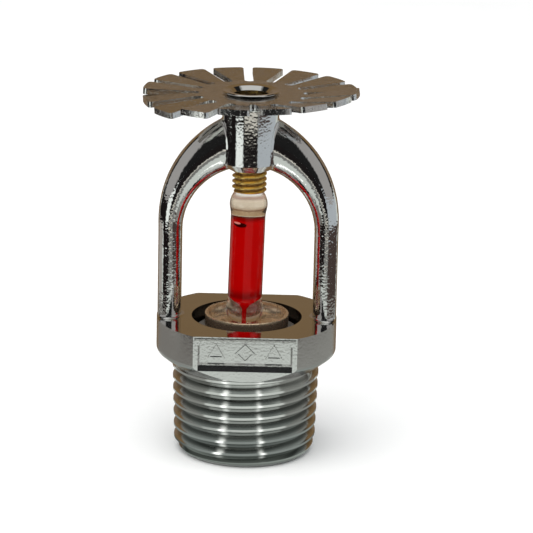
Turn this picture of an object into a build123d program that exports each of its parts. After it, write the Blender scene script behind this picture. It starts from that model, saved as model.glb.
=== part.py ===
from build123d import *
from math import atan, cos, degrees, radians, sin, tan
import os

# A glass-bulb fire sprinkler head with a taper-thread inlet.
# Origin: centre of the inlet end face. +Z runs along the waterway to the deflector.
# The two yoke arms stand at -X and +X, the two wrench flats face -Y and +Y.

# Inlet thread, R 1/2: 14 threads to the inch, taper 1 in 16 on diameter
thread_pitch = 25.4 / 14
thread_gauge_radius = 20.955 / 2
thread_gauge_height = 8.2
thread_taper = 1 / 32
thread_depth = 1.12
thread_mouth = 1.48
thread_root = 0.30
thread_cut_extra = 0.35
inlet_end_radius = 9.2
inlet_chamfer_height = 1.5

# Waterway
inlet_bore_radius = 6.9
inlet_bore_height = 10.5
inlet_lead_in = 0.4
orifice_radius = 5.6
orifice_start_height = 12.2
counterbore_radius = 7.95
counterbore_floor = 17.3
seat_lip_width = 0.8
seat_lip_height = 0.25

# Wrench boss
boss_bottom = 13.3
boss_neck_radius = 10.6
boss_shoulder = 15.2
boss_top = 20.0
boss_radius = 13.0
across_flats = 21.4
panel_width = 13.4
panel_bottom = 14.9
panel_top = 19.15
panel_depth = 0.35
panel_corner = 0.5
panel_taper = 35
panel_slope_top = 15.85
mark_radius = 1.4
mark_stroke = 0.4
mark_step = 4.1
mark_height = 0.22
boss_shoulder_fillet = 0.8
flat_groove_middle = 19.6
flat_groove_half_height = 0.22
flat_groove_depth = 0.3
flat_groove_length = 14.4

# Yoke: two oval arms that rise from the boss and arch into the hub
arm_outer_radius = 12.92
arm_inner_radius = 9.47
arm_half_depth = 2.6
arm_hub_half_depth = 2.3
arm_foot_fillet = 0.5
arch_centre_height = 32.8
arch_swell = 4.35
arch_angle_step = 14
arch_stations = 7
arch_full_angle = 80
post_root = 0.6
hub_bottom = 42.0
hub_bottom_radius = 3.0
hub_rounding_top = 43.0
hub_waist_height = 44.6
hub_waist_radius = 3.92
hub_top_radius = 4.15
hub_lip_radius = 4.4
hub_lip_height = 0.95
hub_lip_step = 0.2
hub_arm_fillet = 0.45

# Deflector
plate_top = 53.0
plate_thickness = 0.85
deflector_radius = 15.36
tine_count = 16
slot_width = 1.4
slot_inner_radius = 8.1
tine_corner = 0.55
slot_turn = 2.75
tine_root = 0.35
deflector_hole_radius = 3.02
tine_rise_angle = 2.4
tine_corner_angle = 3
# Tines that do not keep the usual rise, by the angle of their middle in degrees
bent_tines = {194.0: -2.5, 216.5: -5.5, 261.5: 8.5, 284.0: 9.5, 306.5: 10.0, 329.0: 10.0, 351.5: 9.0}

# Spigot of the hub, staked over the deflector
spigot_radius = 3.0
spigot_root = 0.5
stake_root_radius = 3.5
stake_radius = 4.05
stake_rise = 0.45
stake_edge = 0.1
stake_lip_radius = 3.1
stake_lip_rise = 0.36
stake_chamfer_bottom = 0.2

# Compression screw, M5 x 0.8
screw_bore_radius = 2.55
screw_radius = 2.47
screw_pitch = 0.8
screw_thread_depth = 0.42
screw_thread_mouth = 0.66
screw_thread_root = 0.12
screw_bottom = 38.72
screw_top = 50.2
screw_seat_radius = 1.97
screw_seat_depth = 1.4
screw_seat_end_radius = 0.8
screw_thread_start = 38.5
screw_socket_flats = 2.5
screw_socket_depth = 2.6
screw_chamfer = 0.3

# Glass bulb, 5 mm class
bulb_radius = 2.48
bulb_wall = 0.45
bulb_ball_radius = 2.71
bulb_nib_bottom = 18.85
bulb_nib_radius = 0.4
bulb_bottom = 19.30
bulb_bottom_flat = 1.3
bulb_lower_ball = 20.85
bulb_lower_neck = 23.2
bulb_upper_neck = 34.9
bulb_upper_ball = 36.6
bulb_shoulder_height = 38.8
bulb_shoulder_radius = 1.85
bulb_tip_height = 39.9
bulb_tip_radius = 0.7
liquid_top = 34.9
liquid_funnel_top = 23.4
liquid_funnel_bottom = 21.1
liquid_top_chamfer = 0.35
capillary_radius = 0.22
capillary_bottom = 19.75
liquid_gap = 0.01
bubble_radius = 0.7
bubble_place = (-0.85, -0.8, 34.0)
bulb_lean = 1.2
bulb_lean_height = 38.5

# Valve button and its seal
button_radius = 6.05
button_top = 20.56
button_lip = 0.35
button_floor = 19.22
button_floor_radius = 4.6
button_flange_bottom = 18.48
button_edge = 0.2
button_seat_radius = 1.1
button_seat_depth = 0.8
button_seat_taper = 0.3
button_rim_drop = 0.05
button_rim_edge = 0.1
button_cove_out = 0.25
button_cove_down = 0.4
button_stem_radius = 3.9
button_stem_bottom = 15.4
spring_inner_radius = 4.1
spring_outer_radius = 7.4
spring_thickness = 0.4
spring_cone_height = 0.42
film_thickness = 0.1
film_inset = 0.1
seal_gap = 0.02


def thread_radius(height):
    """Major radius of the inlet thread at a height above the inlet end."""
    return thread_gauge_radius + (height - thread_gauge_height) * thread_taper


def groove_profile(radius, height, depth, mouth, root, extra):
    """Corners of a thread groove, in the plane of X and Z, opened past the surface by extra."""
    spread = (mouth - root) / 2 * extra / depth
    return [
        (radius + extra, height - mouth / 2 - spread),
        (radius + extra, height + mouth / 2 + spread),
        (radius - depth, height + root / 2),
        (radius - depth, height - root / 2),
    ]


def arch_outer(angle):
    """Distance of the arm's outer edge from the arch centre, at an angle above the level."""
    return arm_outer_radius + arch_swell * (angle / arch_full_angle) ** 1.5


def arch_half_depth(angle):
    """Half the arm's depth from front to back, at an angle above the level."""
    return arm_half_depth + (arm_hub_half_depth - arm_half_depth) * (angle / arch_full_angle) ** 2


def oval_points(half_width, half_depth):
    """Points round a smooth oval, always started at its outer side."""
    turns = [radians(turn) for turn in range(0, 360, 30)]
    return [(half_width * cos(turn), half_depth * sin(turn)) for turn in turns]


def seal_ring(bottom, inner, outer, thickness):
    """Corners of a coned ring that rises inwards; bottom is its underside at the seat lip."""
    lip_radius = orifice_radius + seat_lip_width
    slope = spring_cone_height / (spring_outer_radius - spring_inner_radius)
    inner_height = bottom + (lip_radius - inner) * slope
    outer_height = bottom + (lip_radius - outer) * slope
    return [
        (inner, inner_height),
        (outer, outer_height),
        (outer, outer_height + thickness),
        (inner, inner_height + thickness),
    ]


def cavity_outline(radius, inset):
    """Half outline of the bulb's cavity: capillary, funnel, tube and flat top, drawn in by inset."""
    return [
        (0, capillary_bottom + inset),
        (capillary_radius - inset, capillary_bottom + inset),
        (capillary_radius - inset, liquid_funnel_bottom),
        (radius * 0.23 - inset, liquid_funnel_bottom + 0.5),
        (radius * 0.45 - inset, liquid_funnel_bottom + 1.0),
        (radius * 0.8 - inset, liquid_funnel_bottom + 1.6),
        (radius - inset, liquid_funnel_top),
        (radius - inset, liquid_top - liquid_top_chamfer),
        (radius - liquid_top_chamfer - inset, liquid_top - inset),
        (0, liquid_top - inset),
    ]


os.makedirs("parts", exist_ok=True)
plate_bottom = plate_top - plate_thickness
flat_distance = across_flats / 2

# Yoke arm: a straight oval post, then an arch that thickens into the hub
arm_middle = (arm_outer_radius + arm_inner_radius) / 2
arm_half_width = (arm_outer_radius - arm_inner_radius) / 2
post_bottom = boss_top - post_root
lip_bottom = plate_bottom - hub_lip_height

with BuildPart() as arm:
    with BuildSketch(Plane(origin=(arm_middle, 0, post_bottom))):
        with BuildLine():
            Spline(*oval_points(arm_half_width, arm_half_depth), periodic=True)
        make_face()
    extrude(amount=arch_centre_height - post_bottom)
    for station in range(arch_stations):
        angle = station * arch_angle_step
        middle = (arch_outer(angle) + arm_inner_radius) / 2
        half_width = (arch_outer(angle) - arm_inner_radius) / 2
        level = cos(radians(angle))
        upright = sin(radians(angle))
        station_plane = Plane(
            origin=(middle * level, 0, arch_centre_height + middle * upright),
            x_dir=(level, 0, upright),
            z_dir=(-upright, 0, level),
        )
        with BuildSketch(station_plane):
            with BuildLine():
                Spline(*oval_points(half_width, arch_half_depth(angle)), periodic=True)
            make_face()
    loft()

# Yoke: both arms and the hub that they meet in
with BuildPart() as yoke:
    add(arm.part)
    mirror(arm.part, about=Plane.YZ)
    with BuildSketch(Plane.XZ):
        with BuildLine():
            Line((0, hub_bottom), (hub_bottom_radius, hub_bottom))
            Line((hub_bottom_radius, hub_bottom), (hub_waist_radius, hub_rounding_top))
            Line((hub_waist_radius, hub_rounding_top), (hub_waist_radius, hub_waist_height))
            Bezier(
                (hub_waist_radius, hub_waist_height),
                (hub_waist_radius, (hub_waist_height + lip_bottom) / 2),
                (hub_top_radius, lip_bottom),
            )
            Line((hub_top_radius, lip_bottom), (hub_lip_radius, lip_bottom + hub_lip_step))
            Line((hub_lip_radius, lip_bottom + hub_lip_step), (hub_lip_radius, plate_bottom))
            Line((hub_lip_radius, plate_bottom), (0, plate_bottom))
            Line((0, plate_bottom), (0, hub_bottom))
        make_face()
    revolve(axis=Axis.Z)
    junction_edges = (
        yoke.edges()
        .filter_by(GeomType.BSPLINE)
        .filter_by_position(Axis.X, -hub_waist_radius, hub_waist_radius)
        .filter_by_position(Axis.Z, hub_bottom, plate_bottom - hub_top_radius / 2)
    )
    fillet(junction_edges, hub_arm_fillet)

# Wrench boss: a coned disc with two flats, each with a fine groove and a sunk panel
with BuildPart() as boss:
    with BuildSketch(Plane.XZ):
        Polygon(
            (0, boss_bottom),
            (boss_neck_radius, boss_bottom),
            (boss_radius, boss_shoulder),
            (boss_radius, boss_top),
            (0, boss_top),
            align=None,
        )
    revolve(axis=Axis.Z)
    fillet(boss.edges().filter_by(GeomType.CIRCLE).group_by(Axis.Z)[-2], boss_shoulder_fillet)
    with BuildSketch(Plane.XY.offset(boss_bottom)):
        Rectangle(4 * boss_radius, across_flats)
    extrude(amount=boss_top - boss_bottom, mode=Mode.INTERSECT)
    for side in (-1, 1):
        flat_plane = Plane(origin=(0, side * flat_distance, 0), x_dir=(side, 0, 0), z_dir=(0, -side, 0))
        panel_middle = (panel_slope_top + panel_top) / 2
        with BuildSketch(flat_plane):
            with Locations((0, panel_middle)):
                RectangleRounded(panel_width, panel_top - panel_slope_top, panel_corner)
            with Locations((0, panel_slope_top)):
                Rectangle(panel_width, panel_corner, align=(Align.CENTER, Align.MIN))
        extrude(amount=panel_depth, taper=panel_taper, mode=Mode.SUBTRACT)
        # Slope below the panel that runs out to the flat, and a fine groove above it
        with BuildSketch(Plane.YZ):
            Polygon(
                (side * flat_distance, panel_bottom),
                (side * (flat_distance + panel_depth), panel_bottom),
                (side * (flat_distance + panel_depth), panel_slope_top),
                (side * (flat_distance - panel_depth), panel_slope_top),
                align=None,
            )
        extrude(amount=panel_width / 2, both=True, mode=Mode.SUBTRACT)
        with BuildSketch(Plane.YZ):
            Polygon(
                (side * (flat_distance + flat_groove_depth), flat_groove_middle - 2 * flat_groove_half_height),
                (side * (flat_distance - flat_groove_depth), flat_groove_middle),
                (side * (flat_distance + flat_groove_depth), flat_groove_middle + 2 * flat_groove_half_height),
                align=None,
            )
        extrude(amount=flat_groove_length / 2, both=True, mode=Mode.SUBTRACT)
        # Plain casting marks: a hollow lozenge between two hollow triangles
        with BuildSketch(flat_plane.offset(panel_depth)):
            for place, sides, turn in ((-mark_step, 3, 90), (0, 4, 0), (mark_step, 3, 90)):
                with Locations((place, panel_middle)):
                    RegularPolygon(mark_radius, sides, rotation=turn)
                    RegularPolygon(mark_radius - mark_stroke, sides, rotation=turn, mode=Mode.SUBTRACT)
        extrude(amount=-mark_height)

# Frame casting: threaded shank, boss and yoke in one, bored through
with BuildPart() as frame:
    with BuildSketch(Plane.XZ):
        Polygon(
            (0, 0),
            (inlet_end_radius, 0),
            (thread_radius(inlet_chamfer_height), inlet_chamfer_height),
            (thread_radius(boss_bottom), boss_bottom),
            (0, boss_bottom),
            align=None,
        )
    revolve(axis=Axis.Z)
    with BuildLine():
        Helix(
            pitch=thread_pitch,
            height=boss_bottom + 2 * thread_pitch,
            radius=thread_radius(-thread_pitch),
            center=(0, 0, -thread_pitch),
            cone_angle=degrees(atan(thread_taper)),
        )
    with BuildSketch(Plane.XZ):
        Polygon(
            *groove_profile(
                thread_radius(-thread_pitch),
                -thread_pitch,
                thread_depth,
                thread_mouth,
                thread_root,
                thread_cut_extra,
            ),
            align=None,
        )
    sweep(is_frenet=True, mode=Mode.SUBTRACT)
    add(boss.part)
    add(yoke.part)
    foot_edges = (
        frame.edges()
        .filter_by(GeomType.BSPLINE)
        .filter_by(lambda edge: abs(edge.center().Z - boss_top) < 0.01)
    )
    fillet(foot_edges, arm_foot_fillet)
    # Spigot, belled outwards into a collar over the deflector
    with BuildSketch(Plane.XZ):
        Polygon(
            (0, plate_bottom - spigot_root),
            (spigot_radius, plate_bottom - spigot_root),
            (spigot_radius, plate_top),
            (stake_root_radius, plate_top),
            (stake_radius, plate_top + stake_rise - 2 * stake_edge),
            (stake_radius, plate_top + stake_rise - stake_edge),
            (stake_radius - stake_edge, plate_top + stake_rise),
            (stake_lip_radius, plate_top + stake_lip_rise),
            (screw_bore_radius, plate_top - stake_chamfer_bottom),
            (0, plate_top - stake_chamfer_bottom),
            align=None,
        )
    revolve(axis=Axis.Z)
    # Waterway: inlet bore, cone, orifice, raised seat lip and counterbore
    lip_radius = orifice_radius + seat_lip_width
    lip_top = counterbore_floor + seat_lip_height
    with BuildSketch(Plane.XZ):
        Polygon(
            (0, 0),
            (inlet_bore_radius + inlet_lead_in, 0),
            (inlet_bore_radius, inlet_lead_in),
            (inlet_bore_radius, inlet_bore_height),
            (orifice_radius, orifice_start_height),
            (orifice_radius, lip_top),
            (lip_radius, lip_top),
            (lip_radius, counterbore_floor),
            (counterbore_radius, counterbore_floor),
            (counterbore_radius, boss_top),
            (0, boss_top),
            align=None,
        )
    revolve(axis=Axis.Z, mode=Mode.SUBTRACT)
    # Plain bore for the compression screw, right through the hub and the spigot
    with BuildSketch(Plane.XY.offset(hub_bottom)):
        Circle(screw_bore_radius)
    extrude(amount=plate_top + stake_rise - hub_bottom, both=True, mode=Mode.SUBTRACT)
frame.part.label = "frame"
export_step(frame.part, "parts/frame.step")

# Deflector: a slotted disc whose tines can stand at their own angle
tine_step = 360 / tine_count
half_step = tan(radians(tine_step / 2))
slot_side = slot_width / 2 / cos(radians(tine_step / 2))

with BuildPart() as deflector:
    with BuildSketch(Plane.XY.offset(plate_bottom)):
        Circle(slot_inner_radius)
        Circle(deflector_hole_radius, mode=Mode.SUBTRACT)
        with PolarLocations(slot_inner_radius, tine_count, start_angle=90 + slot_turn):
            Circle(slot_width / 2, mode=Mode.SUBTRACT)
    extrude(amount=plate_thickness)
    for index in range(tine_count):
        turn = 90 + slot_turn + (index + 0.5) * tine_step
        bend = bent_tines.get(round(turn % 360, 1), tine_rise_angle)
        tine_length = (deflector_radius - slot_inner_radius) / cos(radians(bend))
        root_width = (slot_inner_radius - tine_root) * half_step - slot_side
        tip_width = deflector_radius * half_step - slot_side
        tip_start = (deflector_radius * cos(radians(tine_step / 2 - tine_corner_angle))) - slot_inner_radius
        east = cos(radians(turn))
        north = sin(radians(turn))
        tine_plane = Plane(
            origin=(slot_inner_radius * east, slot_inner_radius * north, plate_bottom + plate_thickness / 2),
            x_dir=(east * cos(radians(bend)), north * cos(radians(bend)), sin(radians(bend))),
            z_dir=(-east * sin(radians(bend)), -north * sin(radians(bend)), cos(radians(bend))),
        )
        with BuildSketch(tine_plane):
            with BuildLine():
                Polyline(
                    (tip_start, -tip_width),
                    (-tine_root, -root_width),
                    (-tine_root, root_width),
                    (tip_start, tip_width),
                )
                ThreePointArc((tip_start, tip_width), (tine_length, 0), (tip_start, -tip_width))
            tine_face = make_face()
            fillet(tine_face.vertices().group_by(Axis.X)[-1], tine_corner)
        extrude(amount=plate_thickness / 2, both=True)
deflector.part.label = "deflector"
export_step(deflector.part, "parts/deflector.step")

# Compression screw: threaded plug with a hexagon socket above and a coned bulb seat below
with BuildPart() as compression_screw:
    with BuildSketch(Plane.XZ):
        Polygon(
            (0, screw_bottom),
            (screw_radius - screw_chamfer / 2, screw_bottom),
            (screw_radius, screw_bottom + screw_chamfer / 2),
            (screw_radius, screw_top - screw_chamfer),
            (screw_radius - screw_chamfer, screw_top),
            (0, screw_top),
            align=None,
        )
    revolve(axis=Axis.Z)
    with BuildLine():
        Helix(
            pitch=screw_pitch,
            height=screw_top - screw_thread_start + screw_pitch,
            radius=screw_radius,
            center=(0, 0, screw_thread_start),
        )
    with BuildSketch(Plane.XZ):
        Polygon(
            *groove_profile(
                screw_radius,
                screw_thread_start,
                screw_thread_depth,
                screw_thread_mouth,
                screw_thread_root,
                screw_thread_depth / 3,
            ),
            align=None,
        )
    sweep(is_frenet=True, mode=Mode.SUBTRACT)
    with BuildSketch(Plane.XY.offset(screw_top)):
        RegularPolygon(screw_socket_flats / 2, 6, major_radius=False)
    extrude(amount=-screw_socket_depth, mode=Mode.SUBTRACT)
    with BuildSketch(Plane.XZ):
        Polygon(
            (0, screw_bottom),
            (screw_seat_radius, screw_bottom),
            (screw_seat_end_radius, screw_bottom + screw_seat_depth),
            (0, screw_bottom + screw_seat_depth),
            align=None,
        )
    revolve(axis=Axis.Z, mode=Mode.SUBTRACT)
compression_screw.part.label = "compression_screw"
export_step(compression_screw.part, "parts/compression_screw.step")

# Glass bulb: a tube with a ball at each end and a sealed tip below, hollow for the liquid
# The loaded bulb leans a little in its seats, with its foot towards -X
cavity_radius = bulb_radius - bulb_wall
bulb_placing = Pos(0, 0, bulb_lean_height) * Rot(0, bulb_lean, 0) * Pos(0, 0, -bulb_lean_height)
with BuildPart() as bulb_glass:
    with BuildSketch(Plane.XZ):
        with BuildLine():
            Line((0, bulb_nib_bottom), (bulb_nib_radius, bulb_nib_bottom))
            Line((bulb_nib_radius, bulb_nib_bottom), (bulb_nib_radius, bulb_bottom))
            Line((bulb_nib_radius, bulb_bottom), (bulb_bottom_flat, bulb_bottom))
            Spline(
                (bulb_bottom_flat, bulb_bottom),
                (bulb_ball_radius, bulb_lower_ball),
                (bulb_radius, bulb_lower_neck),
                tangents=[(1, 0.12), (0, 1)],
            )
            Line((bulb_radius, bulb_lower_neck), (bulb_radius, bulb_upper_neck))
            Spline(
                (bulb_radius, bulb_upper_neck),
                (bulb_ball_radius, bulb_upper_ball),
                (bulb_shoulder_radius, bulb_shoulder_height),
                tangents=[(0, 1), (-1, 1)],
            )
            Line((bulb_shoulder_radius, bulb_shoulder_height), (bulb_tip_radius, bulb_tip_height))
            Line((bulb_tip_radius, bulb_tip_height), (0, bulb_tip_height))
            Line((0, bulb_tip_height), (0, bulb_nib_bottom))
        make_face()
    revolve(axis=Axis.Z)
    with BuildSketch(Plane.XZ):
        Polygon(*cavity_outline(cavity_radius, 0), align=None)
    revolve(axis=Axis.Z, mode=Mode.SUBTRACT)
leaning_glass = bulb_placing * bulb_glass.part
leaning_glass.label = "bulb_glass"
export_step(leaning_glass, "parts/bulb_glass.step")

# Liquid that fills the bulb, round a small bubble
with BuildPart() as bulb_liquid:
    with BuildSketch(Plane.XZ):
        Polygon(*cavity_outline(cavity_radius, liquid_gap), align=None)
    revolve(axis=Axis.Z)
    with Locations(bubble_place):
        Sphere(bubble_radius + liquid_gap, mode=Mode.SUBTRACT)
leaning_liquid = bulb_placing * bulb_liquid.part
leaning_liquid.label = "bulb_liquid"
export_step(leaning_liquid, "parts/bulb_liquid.step")

with BuildPart() as bulb_bubble:
    with Locations(bubble_place):
        Sphere(bubble_radius)
leaning_bubble = bulb_placing * bulb_bubble.part
leaning_bubble.label = "bulb_bubble"
export_step(leaning_bubble, "parts/bulb_bubble.step")

# Valve button: a dished cap with a stem that centres the disc spring
with BuildPart() as valve_button:
    with BuildSketch(Plane.XZ):
        with BuildLine():
            Polyline(
                (0, button_floor - button_seat_depth),
                (button_seat_radius - button_seat_taper, button_floor - button_seat_depth),
                (button_seat_radius, button_floor),
                (button_floor_radius, button_floor),
            )
            ThreePointArc(
                (button_floor_radius, button_floor),
                (
                    (button_floor_radius + button_radius - button_lip) / 2 + button_cove_out,
                    (button_floor + button_top) / 2 - button_cove_down,
                ),
                (button_radius - button_lip, button_top - button_rim_drop),
            )
            Polyline(
                (button_radius - button_lip, button_top - button_rim_drop),
                (button_radius - button_lip + button_rim_edge, button_top),
                (button_radius - button_rim_edge, button_top),
                (button_radius, button_top - button_rim_edge),
                (button_radius, button_flange_bottom + button_edge),
                (button_radius - button_edge, button_flange_bottom),
                (button_stem_radius, button_flange_bottom),
                (button_stem_radius, button_stem_bottom + button_edge),
                (button_stem_radius - button_edge, button_stem_bottom),
                (0, button_stem_bottom),
                (0, button_floor - button_seat_depth),
            )
        make_face()
    revolve(axis=Axis.Z)
valve_button.part.label = "valve_button"
export_step(valve_button.part, "parts/valve_button.step")

# Coned disc spring with a sealing film on each face, stacked on the seat lip
seal_bottom = counterbore_floor + seat_lip_height + seal_gap
film_inner = spring_inner_radius + film_inset
film_outer = spring_outer_radius - film_inset
seal_layers = [
    ("lower_seal_film", seal_bottom, film_inner, film_outer, film_thickness),
    (
        "disc_spring",
        seal_bottom + film_thickness,
        spring_inner_radius,
        spring_outer_radius,
        spring_thickness,
    ),
    (
        "upper_seal_film",
        seal_bottom + film_thickness + spring_thickness,
        film_inner,
        film_outer,
        film_thickness,
    ),
]
for name, bottom, inner, outer, thickness in seal_layers:
    with BuildPart() as seal_layer:
        with BuildSketch(Plane.XZ):
            Polygon(*seal_ring(bottom, inner, outer, thickness), align=None)
        revolve(axis=Axis.Z)
    seal_layer.part.label = name
    export_step(seal_layer.part, f"parts/{name}.step")
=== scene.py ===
import math

import bmesh
import bpy
from mathutils import Matrix, Vector


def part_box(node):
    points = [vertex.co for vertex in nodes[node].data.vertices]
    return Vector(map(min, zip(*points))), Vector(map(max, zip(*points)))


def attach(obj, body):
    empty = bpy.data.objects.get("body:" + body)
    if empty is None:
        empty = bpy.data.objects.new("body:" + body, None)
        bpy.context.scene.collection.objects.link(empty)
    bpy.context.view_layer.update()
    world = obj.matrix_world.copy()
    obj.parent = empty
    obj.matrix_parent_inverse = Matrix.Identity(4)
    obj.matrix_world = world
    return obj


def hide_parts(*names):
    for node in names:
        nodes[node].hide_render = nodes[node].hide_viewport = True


# A glass-bulb fire sprinkler head: finishes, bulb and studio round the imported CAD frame.
# Objects are in metres, in the frame's own coordinates. Materials are set out in millimetres.
MM = 0.001

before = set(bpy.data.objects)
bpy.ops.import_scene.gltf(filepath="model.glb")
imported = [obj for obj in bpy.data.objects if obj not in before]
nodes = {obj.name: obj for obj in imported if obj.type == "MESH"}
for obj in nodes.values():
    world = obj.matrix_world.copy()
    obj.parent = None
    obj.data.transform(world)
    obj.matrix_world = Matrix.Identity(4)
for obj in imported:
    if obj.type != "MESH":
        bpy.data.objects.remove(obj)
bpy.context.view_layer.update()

# Levels and radii of the pieces, in millimetres
BOSS_TOP = 20.0
THREAD_TOP = 13.3
THREAD_FOOT_RADIUS = 10.22
THREAD_TAPER = 1 / 32
THREAD_DEPTH = 1.12
COUNTERBORE_RADIUS = 7.95
HUB_BLEND = (36, 43)
CAP_DISH_RADIUS = 5.6
CAP_RIM_RADIUS = 6.0
SCREW_ROOT_RADIUS = 2.05
SCREW_CREST_RADIUS = 2.34
LIQUID_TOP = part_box("bulb_liquid")[1].z / MM
TUBE_FOOT = (22.6, 23.3, 23.5, 24.6)
BUBBLE_MIDDLE = (-1.05, 34.05)
BUBBLE_HALF = (0.85, 0.36)
GLINT_MIDDLE = (-1.45, 34.28)
GLINT_HALF = (0.42, 0.16)

# Studio, in metres, and the turns of its backdrop and side lights from +Y, in degrees
FLOOR_SIZE = 6.0
CARD_LEVEL = 0.0004
CARD_PINHOLE = 0.0001
BACKDROP_FADE = (48, 58)
SIDE_LIGHT_BAND = (66, 72, 132, 142)
OBJECT_MIDDLE = Vector((0, 0, 0.030))
LAMP_PLACE = Vector((-0.10, -0.24, 0.85))
LAMP_SIZE = 0.8
LAMP_POWER = 7.0

# Colours, linear
OVERHEAD_GREY = (0.012, 0.012, 0.012, 1)
OVERHEAD_LIGHT = (0.62, 0.62, 0.60, 1)
SOFTBOX_GREY = (0.36, 0.35, 0.34, 1)
BROWN_LOW = (0.21, 0.150, 0.098, 1)
BROWN_HIGH = (0.185, 0.118, 0.055, 1)
# Painted light in the glass ball: the backdrop seen through it, its pale top, and its dark edge
# lines
PAINTED_VIEW_TAN_DARK = (0.22, 0.13, 0.06, 1)
PAINTED_VIEW_TAN_LIGHT = (0.50, 0.35, 0.20, 1)
PAINTED_TOP_LIGHT = (0.84, 0.92, 0.97, 1)
PAINTED_DARK_EDGE = (0.16, 0.07, 0.04, 1)


class Graph:
    """Adds nodes to one node tree, and links the sockets that they are given."""

    def __init__(self, tree):
        self.tree = tree
        tree.nodes.clear()

    def add(self, kind, inputs=None, **settings):
        node = self.tree.nodes.new(kind)
        for key, value in settings.items():
            setattr(node, key, value)
        for key, value in (inputs or {}).items():
            if isinstance(value, bpy.types.NodeSocket):
                self.tree.links.new(value, node.inputs[key])
            else:
                node.inputs[key].default_value = value
        return node

    def math(self, operation, first, second=0.0, clamp=False):
        inputs = {0: first, 1: second}
        node = self.add("ShaderNodeMath", inputs, operation=operation, use_clamp=clamp)
        return node.outputs[0]

    def ramp(self, value, low, high, at_low=0.0, at_high=1.0):
        """Smooth step between two results, as value goes from low to high."""
        inputs = {
            "Value": value,
            "From Min": low,
            "From Max": high,
            "To Min": at_low,
            "To Max": at_high,
        }
        node = self.add("ShaderNodeMapRange", inputs, interpolation_type="SMOOTHSTEP")
        return node.outputs["Result"]

    def fade(self, value, low, high):
        """Smooth step down from 1 at low to 0 at high."""
        return self.ramp(value, low, high, 1.0, 0.0)

    def band(self, value, start, full, fading, end):
        """Rises from start to full, and falls from fading to end."""
        return self.times(self.ramp(value, start, full), self.fade(value, fading, end))

    def blend(self, factor, first, second):
        """Colour from first to second, by factor."""
        inputs = {0: factor, 6: first, 7: second}
        return self.add("ShaderNodeMix", inputs, data_type="RGBA").outputs[2]

    def scaled(self, value, gain, base):
        """value times gain, plus base."""
        return self.math("ADD", self.math("MULTIPLY", value, gain), base)

    def millimetres(self, stretch=(1, 1, 1)):
        """Object coordinates in millimetres, stretched along the three axes."""
        place = self.add("ShaderNodeTexCoord").outputs["Object"]
        scale = [1 / MM * factor for factor in stretch]
        return self.add("ShaderNodeMapping", {"Vector": place, "Scale": scale}).outputs["Vector"]

    def place(self):
        """Object X, Y and Z in millimetres, as three sockets."""
        split = self.add("ShaderNodeSeparateXYZ", {"Vector": self.millimetres()})
        return split.outputs["X"], split.outputs["Y"], split.outputs["Z"]

    def length(self, first, second):
        """Length of the vector (first, second)."""
        squares = self.math("ADD", self.math("POWER", first, 2.0), self.math("POWER", second, 2.0))
        return self.math("SQRT", squares)

    def times(self, *factors):
        """Product of all the factors."""
        product = factors[0]
        for factor in factors[1:]:
            product = self.math("MULTIPLY", product, factor)
        return product

    def noise(self, scale, detail=2.0, roughness=0.5, stretch=(1, 1, 1), distortion=0.0):
        """Noise with scale features to the millimetre."""
        settings = {
            "Vector": self.millimetres(stretch),
            "Scale": scale,
            "Detail": detail,
            "Roughness": roughness,
            "Distortion": distortion,
        }
        return self.add("ShaderNodeTexNoise", settings).outputs["Fac"]

    def bump(self, height, depth, strength=1.0, under=None):
        """Bump of a height field, depth in millimetres."""
        inputs = {"Height": height, "Distance": depth * MM, "Strength": strength}
        if under is not None:
            inputs["Normal"] = under
        return self.add("ShaderNodeBump", inputs).outputs["Normal"]

    def surface(self, kind, inputs):
        """Ends the material with one shader."""
        shader = self.add(kind, inputs).outputs[0]
        self.add("ShaderNodeOutputMaterial", {"Surface": shader})

    def principled(self, inputs):
        self.surface("ShaderNodeBsdfPrincipled", inputs)

    def metal(self, tint, rough, normal, share=1.0):
        """Metal surface; share is how metallic it is."""
        self.principled(
            {"Base Color": tint, "Metallic": share, "Roughness": rough, "Normal": normal}
        )


def new_material(name):
    material = bpy.data.materials.new(name)
    material.use_nodes = True
    return material, Graph(material.node_tree)


def dress(name, material):
    """Gives a CAD node its material."""
    materials = nodes[name].data.materials
    materials.clear()
    materials.append(material)


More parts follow.
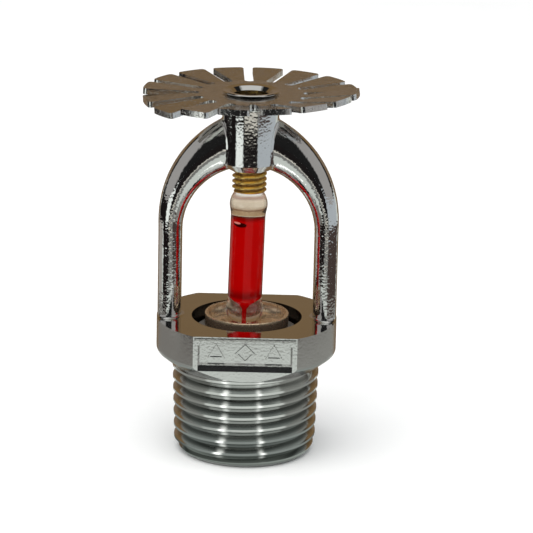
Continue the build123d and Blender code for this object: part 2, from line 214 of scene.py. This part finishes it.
def chrome_casting():
    """Plated casting: turned thread, satin boss sides, polished boss top, orange-peel arms."""
    material, graph = new_material("chrome_casting")
    across, along, height = graph.place()
    normal_now = graph.add("ShaderNodeNewGeometry").outputs["Normal"]
    facing = graph.add("ShaderNodeSeparateXYZ", {"Vector": normal_now}).outputs["Z"]
    above_boss = graph.ramp(height, BOSS_TOP + 0.1, BOSS_TOP + 0.9)
    below_boss = graph.fade(height, THREAD_TOP - 0.3, THREAD_TOP + 0.2)
    not_above = graph.math("SUBTRACT", 1.0, above_boss)
    at_boss = graph.math("SUBTRACT", not_above, below_boss, clamp=True)
    boss_side = graph.times(at_boss, graph.fade(facing, 0.75, 0.95))

    peel = graph.noise(1.1, 1.0, 0.5)
    grit = graph.noise(3.0, 0.0)
    tool_marks = graph.noise(1.0, 2.0, 0.6, stretch=(0.05, 0.05, 9))
    streaks = graph.noise(1.0, 3.0, 0.6, stretch=(6, 6, 0.25))
    # The cast grain is finer on the hub than on the arms
    on_arms = graph.times(above_boss, graph.ramp(height, *HUB_BLEND, 1.0, 0.45))
    normal = graph.bump(peel, 0.03, graph.times(on_arms, 0.7))
    normal = graph.bump(grit, 0.023, graph.times(on_arms, 0.8), normal)
    normal = graph.bump(grit, 0.02, boss_side, normal)
    normal = graph.bump(streaks, 0.02, boss_side, normal)
    normal = graph.bump(tool_marks, 0.006, below_boss, normal)

    rough = graph.scaled(boss_side, 0.12, 0.04)
    rough = graph.scaled(below_boss, 0.05, rough)
    rough = graph.scaled(graph.noise(0.5, 3.0), 0.06, rough)
    tint = graph.blend(graph.noise(0.3, 4.0, 0.6), (0.74, 0.74, 0.73, 1), (0.84, 0.84, 0.83, 1))
    # Painted shade in the roots of the inlet thread
    radius = graph.length(across, along)
    crest_radius = graph.scaled(height, THREAD_TAPER, THREAD_FOOT_RADIUS)
    depth = graph.math("SUBTRACT", crest_radius, radius)
    root_shade = graph.ramp(depth, 0.12 * THREAD_DEPTH, 0.75 * THREAD_DEPTH)
    shank = graph.fade(height, THREAD_TOP - 1.2, THREAD_TOP - 0.6)
    tint = graph.blend(graph.times(root_shade, shank, 0.72), tint, (0.20, 0.21, 0.20, 1))
    # Wall of the counterbore round the valve, tinted a dark brown
    edge = COUNTERBORE_RADIUS + 0.02
    bore_wall = graph.times(
        graph.fade(radius, edge, edge + 0.04),
        graph.fade(height, BOSS_TOP - 0.05, BOSS_TOP + 0.05),
    )
    tint = graph.blend(bore_wall, tint, (0.16, 0.13, 0.10, 1))
    graph.metal(tint, rough, normal)
    return material


def chrome_sheet():
    """Plated pressing: smoother than the casting, with pits, flecks and rolling marks."""
    material, graph = new_material("chrome_sheet")
    waves = graph.noise(0.35, 2.0, 0.5)
    pits = graph.ramp(graph.noise(2.2, 1.0, 0.5), 0.62, 0.70)
    scratches = graph.noise(1.0, 2.0, 0.6, stretch=(0.5, 5.5, 1), distortion=0.4)
    scratches = graph.ramp(scratches, 0.56, 0.70)
    flecks = graph.ramp(graph.noise(4.5, 0.0), 0.66, 0.74)
    normal = graph.bump(waves, 0.07, 0.6)
    normal = graph.bump(pits, -0.03, 0.8, normal)
    normal = graph.bump(scratches, 0.012, 0.7, normal)
    normal = graph.bump(flecks, 0.02, 0.9, normal)
    rough = graph.scaled(graph.noise(0.8, 4.0, 0.65), 0.16, 0.07)
    tint = graph.blend(graph.noise(1.6, 4.0, 0.7), (0.62, 0.61, 0.59, 1), (0.94, 0.93, 0.91, 1))
    graph.metal(tint, rough, normal)
    return material


def turned_cap():
    """Turned button: fine rings round the axis, handling stains on the dish, and painted shade on
    its rim wall.
    """
    material, graph = new_material("turned_cap")
    across, along, height = graph.place()
    radius = graph.length(across, along)
    rings = {"W": radius, "Scale": 5.0, "Detail": 2.0}
    rings = graph.add("ShaderNodeTexNoise", rings, noise_dimensions="1D").outputs["Fac"]
    on_dish = graph.ramp(radius, CAP_DISH_RADIUS - 0.1, CAP_DISH_RADIUS + 0.1, 0.5, 0.0)
    normal = graph.bump(rings, 0.01, on_dish)
    stains = graph.noise(0.7, 5.0, 0.7, distortion=0.6)
    spots = graph.ramp(stains, 0.50, 0.68)
    tint = graph.blend(spots, (0.92, 0.72, 0.50, 1), (0.42, 0.30, 0.18, 1))
    # Painted shade: the rim wall of the cap is painted darker than the dish
    rim_wall_shade = graph.times(
        graph.ramp(radius, CAP_RIM_RADIUS - 0.1, CAP_RIM_RADIUS),
        graph.fade(height, BOSS_TOP + 0.1, BOSS_TOP + 0.4),
    )
    tint = graph.blend(rim_wall_shade, tint, (0.46, 0.32, 0.22, 1))
    rough = graph.scaled(spots, 0.16, 0.24)
    graph.metal(tint, rough, normal, 0.85)
    return material


def brass_screw():
    """Brass thread, with painted shade in its roots."""
    material, graph = new_material("brass_screw")
    normal = graph.bump(graph.noise(5.0, 3.0, 0.6), 0.012, 0.7)
    tint = graph.blend(graph.noise(1.2, 4.0, 0.6), (0.84, 0.54, 0.13, 1), (1.0, 0.78, 0.30, 1))
    across, along, _ = graph.place()
    # Painted shade: darker towards the roots of the thread
    unshaded_crest = graph.ramp(graph.length(across, along), SCREW_ROOT_RADIUS, SCREW_CREST_RADIUS)
    tint = graph.blend(unshaded_crest, (0.38, 0.21, 0.06, 1), tint)
    rough = graph.scaled(graph.noise(2.0, 3.0), 0.12, 0.12)
    graph.metal(tint, rough, normal, 0.85)
    return material


def spring_steel():
    """Dull grey steel of the disc spring."""
    material, graph = new_material("spring_steel")
    tint = graph.blend(graph.noise(0.9, 4.0, 0.6), (0.30, 0.28, 0.25, 1), (0.52, 0.50, 0.46, 1))
    rough = graph.scaled(graph.noise(2.0, 3.0), 0.2, 0.28)
    graph.principled({"Base Color": tint, "Metallic": 1.0, "Roughness": rough})
    return material


def seal_film():
    """Dark film on the faces of the disc spring."""
    material, graph = new_material("seal_film")
    tint = graph.blend(graph.noise(1.5, 3.0), (0.16, 0.14, 0.12, 1), (0.24, 0.22, 0.19, 1))
    rough = graph.scaled(graph.noise(3.0, 2.0), 0.1, 0.35)
    graph.principled({"Base Color": tint, "Roughness": rough})
    return material


def clear_glass(name, tone, rough, ball_shade=0.0):
    """Clear glass. The upper ball, by ball_shade, has painted light in its colour: tan below for
    the backdrop seen through it, a painted pale top, and painted dark lines at its shoulder and its
    edge.
    """
    material, graph = new_material(name)
    height = graph.place()[2]
    normal = graph.bump(graph.noise(0.5, 1.0), 0.05, 0.5)
    tint = graph.blend(graph.noise(0.6, 2.0), tone, (1, 1, 1, 1))
    # Painted reflection and shade in the ball: tan below, pale above, a dark line at the shoulder
    ball = graph.times(graph.ramp(height, LIQUID_TOP - 0.4, LIQUID_TOP + 0.1), ball_shade)
    painted_top = graph.ramp(height, LIQUID_TOP + 1.3, LIQUID_TOP + 2.2)
    painted_view = graph.blend(graph.noise(2.4, 3.0, 0.7), PAINTED_VIEW_TAN_DARK, PAINTED_VIEW_TAN_LIGHT)
    painted_view = graph.blend(painted_top, painted_view, PAINTED_TOP_LIGHT)
    shoulder = [LIQUID_TOP + step for step in (1.25, 1.40, 1.45, 1.62)]
    painted_view = graph.blend(graph.band(height, *shoulder), painted_view, PAINTED_DARK_EDGE)
    tint = graph.blend(ball, tint, painted_view)
    # Painted shade: darker at the grazing edge of the ball
    grazing = graph.add("ShaderNodeLayerWeight", {"Blend": 0.5}).outputs["Facing"]
    tint = graph.blend(graph.times(graph.ramp(grazing, 0.35, 0.85), ball), tint, PAINTED_DARK_EDGE)
    graph.principled(
        {
            "Base Color": tint,
            "Roughness": rough,
            "IOR": 1.5,
            "Transmission Weight": 1.0,
            "Normal": normal,
        }
    )
    return material


def oval(graph, across, height, middle, half):
    """Mask of an oval seen from the front: its middle and half sizes along X and Z."""
    sides = [
        graph.math("DIVIDE", graph.math("SUBTRACT", value, centre), reach)
        for value, centre, reach in zip((across, height), middle, half)
    ]
    return graph.fade(graph.length(*sides), 0.9, 1.05)


def red_liquid():
    """Dyed liquid: saturated red. It glows by emission, painted light that stands in for the light
    shining through it, stronger at the front; painted shade makes it darker at the foot of the
    tube.
    """
    material, graph = new_material("red_liquid")
    across, along, height = graph.place()
    tint = graph.blend(graph.noise(0.25, 2.0), (0.36, 0.0, 0.0, 1), (0.44, 0.0, 0.0, 1))
    # Painted shade: darker at the foot of the tube
    foot_shade = graph.times(graph.band(height, *TUBE_FOOT), 0.7)
    tint = graph.blend(foot_shade, tint, (0.10, 0.0, 0.0, 1))
    # Painted look of the bubble behind the wall: a dark lens of painted shade with a painted
    # highlight, a pale glint, at its upper left
    front = graph.fade(along, -0.5, -0.2)
    lens = graph.times(front, oval(graph, across, height, BUBBLE_MIDDLE, BUBBLE_HALF))
    tint = graph.blend(lens, tint, (0.03, 0.0, 0.0, 1))
    glint = graph.times(front, oval(graph, across, height, GLINT_MIDDLE, GLINT_HALF))
    tint = graph.blend(glint, tint, (0.62, 0.20, 0.16, 1))
    graph.principled(
        {
            "Base Color": tint,
            "Roughness": 0.2,
            "IOR": 1.05,
            # Painted light: the liquid glows, more at the front than at the back
            "Emission Color": tint,
            "Emission Strength": graph.ramp(along, -0.9, 0.2, 0.62, 0.15),
        }
    )
    return material


# Finishes of the CAD nodes
dress("frame", chrome_casting())
dress("deflector", chrome_sheet())
dress("compression_screw", brass_screw())
dress("valve_button", turned_cap())
dress("disc_spring", spring_steel())
film = seal_film()
dress("upper_seal_film", film)
dress("lower_seal_film", film)
dress("bulb_liquid", red_liquid())
dress("bulb_bubble", clear_glass("bubble_gas", (0.95, 0.75, 0.75, 1), 0.02))


def outer_skin(source, name):
    """Copy of a hollow CAD node with only its outer skin, the shell that reaches farthest out."""
    mesh = bmesh.new()
    mesh.from_mesh(source.data)
    bmesh.ops.remove_doubles(mesh, verts=mesh.verts, dist=1e-6)
    shells = []
    waiting = set(mesh.verts)
    while waiting:
        shell = set()
        reached = [waiting.pop()]
        while reached:
            vertex = reached.pop()
            shell.add(vertex)
            for edge in vertex.link_edges:
                other = edge.other_vert(vertex)
                if other in waiting:
                    waiting.remove(other)
                    reached.append(other)
        shells.append(shell)
    outer = max(shells, key=lambda shell: max(vertex.co.xy.length for vertex in shell))
    inner = [vertex for vertex in mesh.verts if vertex not in outer]
    bmesh.ops.delete(mesh, geom=inner, context="VERTS")
    data = bpy.data.meshes.new(name)
    mesh.to_mesh(data)
    mesh.free()
    piece = bpy.data.objects.new(name, data)
    bpy.context.scene.collection.objects.link(piece)
    return piece


# The bulb shows as one clear wall, so that the liquid is seen through it
bulb_shell = outer_skin(nodes["bulb_glass"], "bulb_shell")
shell_glass = clear_glass("bulb_clear_glass", (0.96, 0.97, 0.97, 1), 0.0, ball_shade=1.0)
bulb_shell.data.materials.append(shell_glass)
for polygon in bulb_shell.data.polygons:
    polygon.use_smooth = True
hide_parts("bulb_glass")
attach(bulb_shell, "bulb")

# Pale floor
bpy.ops.mesh.primitive_plane_add(size=FLOOR_SIZE)
floor = bpy.context.object
floor.name = "floor"
floor_material, graph = new_material("floor_paper")
paper = graph.blend(graph.noise(0.05, 3.0), (0.88, 0.88, 0.87, 1), (0.92, 0.92, 0.91, 1))
graph.principled({"Base Color": paper, "Roughness": 0.8})
floor.data.materials.append(floor_material)


def floor_card(name, near, far, level, material):
    """Ring flat on the floor, from radius near to far, that only shows in gloss."""
    steps = 16
    points = []
    for radius, order in ((near, range(steps + 1)), (far, range(steps, -1, -1))):
        for step in order:
            angle = 2 * math.pi * step / steps - math.pi
            points.append((radius * math.sin(angle), -radius * math.cos(angle), level))
    data = bpy.data.meshes.new(name)
    data.from_pydata(points, [], [range(len(points))])
    data.materials.append(material)
    card = bpy.data.objects.new(name, data)
    bpy.context.scene.collection.objects.link(card)
    card.visible_camera = False
    card.visible_diffuse = False
    card.visible_transmission = False
    card.visible_shadow = False
    card.visible_volume_scatter = False


def polar_masks(graph):
    """On the floor: radius in millimetres, and degrees from -Y towards +X."""
    across, along, _ = graph.place()
    turn = graph.math("ARCTAN2", across, graph.math("MULTIPLY", along, -1.0))
    return graph.length(across, along), graph.math("DEGREES", turn)


def sector(graph, turn, middle, half, soft=6.0):
    """Mask of the directions within half degrees of middle."""
    inputs = {0: graph.math("SUBTRACT", turn, middle), 1: -180.0, 2: 180.0}
    away = graph.add("ShaderNodeMath", inputs, operation="WRAP").outputs[0]
    away = graph.math("ABSOLUTE", away)
    return graph.fade(away, half - soft / 2, half + soft / 2)


def ring(graph, radius, near, far):
    """Mask of the distances from near to far, in millimetres, softer farther out."""
    soft = min(8.0, 0.15 * far)
    inside = graph.ramp(radius, near - soft / 2, near + soft / 2) if near > 0 else 1.0
    outside = graph.fade(radius, far - soft / 2, far + soft / 2)
    return graph.times(inside, outside)


# What the chrome sees below the horizon, later rows over earlier ones. Each is a middle turn and
# a half width in degrees, a near and a far radius in millimetres, and a colour.
FLOOR_TONES = {
    "side left": (-92, 48, 45, 85, (0.19, 0.18, 0.165, 1)),
    "side right": (92, 48, 45, 85, (0.26, 0.26, 0.24, 1)),
    "arm bright": (-124, 28, 85, 150, (0.40, 0.37, 0.34, 1)),
    "arm black": (-50, 35, 80, 155, (0.010, 0.007, 0.007, 1)),
    "arm grey": (9, 24, 80, 150, (0.20, 0.20, 0.19, 1)),
    "arm dim": (84, 51, 80, 150, (0.065, 0.045, 0.040, 1)),
    "screw glow": (2, 26, 122, 146, (0.70, 0.68, 0.60, 1)),
    "hub black": (-98, 38, 148, 3000, (0.010, 0.008, 0.008, 1)),
    "far white": (-44, 16, 148, 3000, (0.95, 1.00, 0.96, 1)),
    "far dark": (2, 30, 146, 3000, (0.012, 0.010, 0.010, 1)),
    "far grey": (78, 46, 150, 3000, (0.46, 0.50, 0.53, 1)),
    "brown": (180, 40, 12, 3000, (0.19, 0.125, 0.070, 1)),
    "low left": (-92, 36, 15, 45, (0.26, 0.27, 0.25, 1)),
    "low right": (92, 36, 15, 45, (0.26, 0.27, 0.25, 1)),
    "near": (0, 140, 0, 22, (0.26, 0.29, 0.275, 1)),
    "foot": (0, 140, 0, 13, (0.075, 0.088, 0.080, 1)),
    "strip left": (-28, 4.0, 11, 45, (1.7, 1.75, 1.7, 1)),
    "strip right": (21, 2.4, 11, 45, (1.6, 1.65, 1.6, 1)),
    "under the end": (0, 140, 0, 11.4, (0.34, 0.38, 0.35, 1)),
}

floor_card_material, graph = new_material("floor_reflection")
radius, turn = polar_masks(graph)
shade = graph.blend(graph.noise(0.02, 3.0), (0.60, 0.64, 0.60, 1), (0.66, 0.70, 0.66, 1))
for middle, half, near, far, color in FLOOR_TONES.values():
    mask = graph.times(sector(graph, turn, middle, half), ring(graph, radius, near, far))
    shade = graph.blend(mask, shade, color)
graph.surface("ShaderNodeEmission", {"Color": shade})
floor_card("floor_reflection", CARD_PINHOLE, FLOOR_SIZE / 2, CARD_LEVEL, floor_card_material)

# World: pale for the floor and soft fill, a studio with a brown backdrop in the gloss
world = bpy.data.worlds.new("studio")
bpy.context.scene.world = world
world.use_nodes = True
graph = Graph(world.node_tree)
outward = graph.add("ShaderNodeTexCoord").outputs["Generated"]
direction = graph.add("ShaderNodeSeparateXYZ", {"Vector": outward})
rise = direction.outputs["Z"]
turn = graph.math("ARCTAN2", direction.outputs["X"], direction.outputs["Y"])
turn = graph.math("ABSOLUTE", turn)
turn = graph.math("DEGREES", turn)
backdrop = graph.times(graph.fade(turn, *BACKDROP_FADE), graph.fade(rise, 0.52, 0.64))
beside = graph.band(turn, *SIDE_LIGHT_BAND)
softbox = graph.times(beside, graph.fade(rise, 0.60, 0.68))
brown = graph.blend(graph.ramp(rise, 0.20, 0.34), BROWN_LOW, BROWN_HIGH)
overhead = graph.blend(graph.ramp(rise, 0.78, 0.88), OVERHEAD_GREY, OVERHEAD_LIGHT)
gloss_color = graph.blend(backdrop, overhead, brown)
gloss_color = graph.blend(softbox, gloss_color, SOFTBOX_GREY)
rays = graph.add("ShaderNodeLightPath")
plain = graph.add("ShaderNodeBackground", {"Color": (0.95, 0.97, 1.0, 1), "Strength": 0.75})
gloss = graph.add("ShaderNodeBackground", {"Color": gloss_color, "Strength": 1.0})
sharp_rays = (rays.outputs["Is Glossy Ray"], rays.outputs["Is Transmission Ray"])
inputs = {0: graph.math("MAXIMUM", *sharp_rays), 1: plain.outputs[0], 2: gloss.outputs[0]}
both = graph.add("ShaderNodeMixShader", inputs)
graph.add("ShaderNodeOutputWorld", {"Surface": both.outputs[0]})

# One large soft light from above and in front, aimed at the middle of the object
light = bpy.data.lights.new("key_top", "AREA")
light.shape = "RECTANGLE"
light.size = light.size_y = LAMP_SIZE
light.energy = LAMP_POWER
light.color = (1.0, 0.99, 0.97)
lamp = bpy.data.objects.new("key_top", light)
lamp.location = LAMP_PLACE
aim = OBJECT_MIDDLE - LAMP_PLACE
lamp.rotation_euler = aim.to_track_quat("-Z", "Y").to_euler()
bpy.context.scene.collection.objects.link(lamp)
lamp.visible_glossy = False

# Camera: long lens, a little above the boss
camera_distance = 0.420
camera_height_angle = math.radians(16.04)
camera_turn = math.radians(0.63)
camera_roll = math.radians(1.18)
back = Vector(
    (
        math.sin(camera_turn) * math.cos(camera_height_angle),
        -math.cos(camera_turn) * math.cos(camera_height_angle),
        math.sin(camera_height_angle),
    )
)
right = (-back).cross(Vector((0, 0, 1))).normalized()
up = right.cross(-back)
rolled_right = right * math.cos(camera_roll) + up * math.sin(camera_roll)
rolled_up = up * math.cos(camera_roll) - right * math.sin(camera_roll)
camera_data = bpy.data.cameras.new("camera")
camera_data.sensor_width = 36
camera_data.lens = 197.4
camera_data.shift_x = 0.0346
camera_data.shift_y = -0.0330
camera_data.clip_start = 0.01
camera_data.clip_end = 20
camera = bpy.data.objects.new("camera", camera_data)
turned = Matrix((rolled_right, rolled_up, back)).transposed().to_4x4()
turned.translation = OBJECT_MIDDLE + back * camera_distance
camera.matrix_world = turned
bpy.context.scene.collection.objects.link(camera)
bpy.context.scene.camera = camera
bpy.context.scene.view_settings.view_transform = "Standard"
